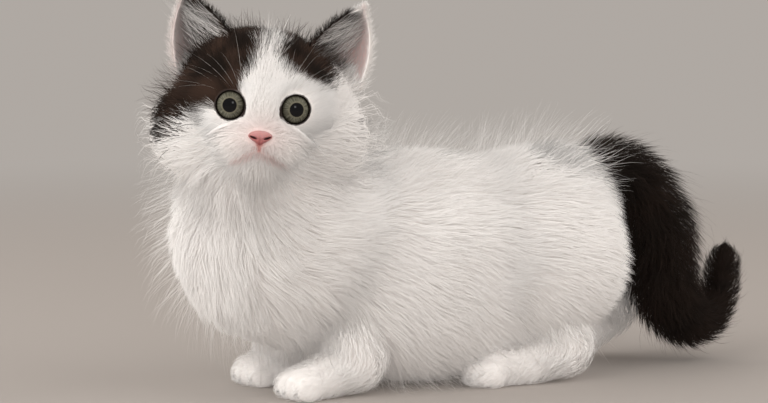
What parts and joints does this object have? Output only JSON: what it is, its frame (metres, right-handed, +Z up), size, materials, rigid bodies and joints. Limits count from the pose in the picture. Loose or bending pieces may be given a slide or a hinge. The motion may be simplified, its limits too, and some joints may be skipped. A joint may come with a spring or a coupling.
{
  "type": "munchkin kitten model",
  "caption": "Life-size still model of a fluffy short-legged munchkin kitten, standing side-on with its head turned, white with dark patches and a dark tail.",
  "frame": {"origin": "centre of the bounding box, on the floor under the paws", "axes": "+Z up, -X the way the body faces, -Y the kitten's left side"},
  "size_m": [0.3138, 0.0986, 0.1844],
  "materials": {
    "white_coat": "soft fluffy white fur",
    "dark_coat": "soft fluffy black-brown fur",
    "eye": "clear wet gloss over a grey-olive iris",
    "nose_leather": "fine-grained pink skin, slightly moist",
    "ear_lining": "thin pink-grey skin with pale hairs"
  },
  "bodies": {
    "root": {"head": "white_coat", "neck": "white_coat", "torso": "white_coat", "nose": "nose_leather", "ear_left": "dark_coat", "ear_right": "dark_coat", "eye_left": "eye", "eye_right": "eye", "foreleg_left": "white_coat", "foreleg_right": "white_coat", "forepaw_left": "white_coat", "forepaw_right": "white_coat", "hindleg_left": "white_coat", "hindleg_right": "white_coat", "hindpaw_left": "white_coat", "hindpaw_right": "white_coat", "tail_base": "dark_coat", "tail_middle": "dark_coat", "tail_tip": "dark_coat"}
  },
  "joints": []
}
